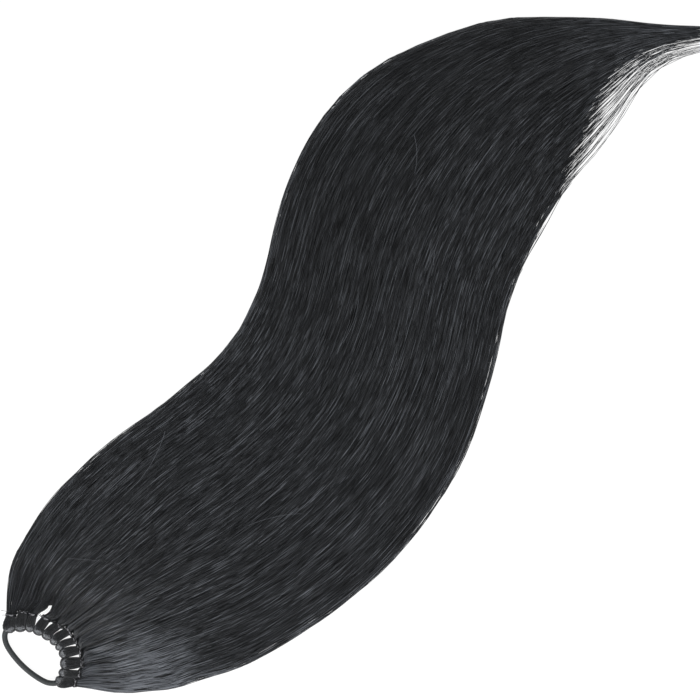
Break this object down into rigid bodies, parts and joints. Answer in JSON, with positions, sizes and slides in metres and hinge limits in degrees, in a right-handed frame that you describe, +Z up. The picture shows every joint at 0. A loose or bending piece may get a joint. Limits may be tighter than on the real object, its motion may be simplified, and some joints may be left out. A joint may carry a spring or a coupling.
{
  "type": "ponytail hairpiece",
  "caption": "Straight black pull-on ponytail hairpiece: a closed elastic, bound bundles of hair folded over it, and one long smooth tapering fall.",
  "frame": {"origin": "on the table, under the middle of the hairpiece's bounding box", "axes": "+X runs from the elastic to the ends of the hair, +Y to its left as seen from above, +Z up from the table it lies on"},
  "size_m": [0.6002, 0.2398, 0.0161],
  "materials": {
    "black_hair": "smooth straight synthetic fibre with a soft sheen",
    "elastic_cover": "finely knitted matt cover over rubber",
    "binding_thread": "wound sewing thread"
  },
  "bodies": {
    "root": {"hair_fall": "black_hair", "elastic_loop": "elastic_cover", "knot_01": "black_hair", "knot_02": "black_hair", "knot_03": "black_hair", "knot_04": "black_hair", "knot_05": "black_hair", "knot_06": "black_hair", "knot_07": "black_hair", "knot_08": "black_hair", "knot_09": "black_hair", "knot_10": "black_hair", "knot_11": "black_hair", "binding_01": "binding_thread", "binding_02": "binding_thread", "binding_03": "binding_thread", "binding_04": "binding_thread", "binding_05": "binding_thread", "binding_06": "binding_thread", "binding_07": "binding_thread", "binding_08": "binding_thread", "binding_09": "binding_thread", "binding_10": "binding_thread", "binding_11": "binding_thread"}
  },
  "joints": []
}
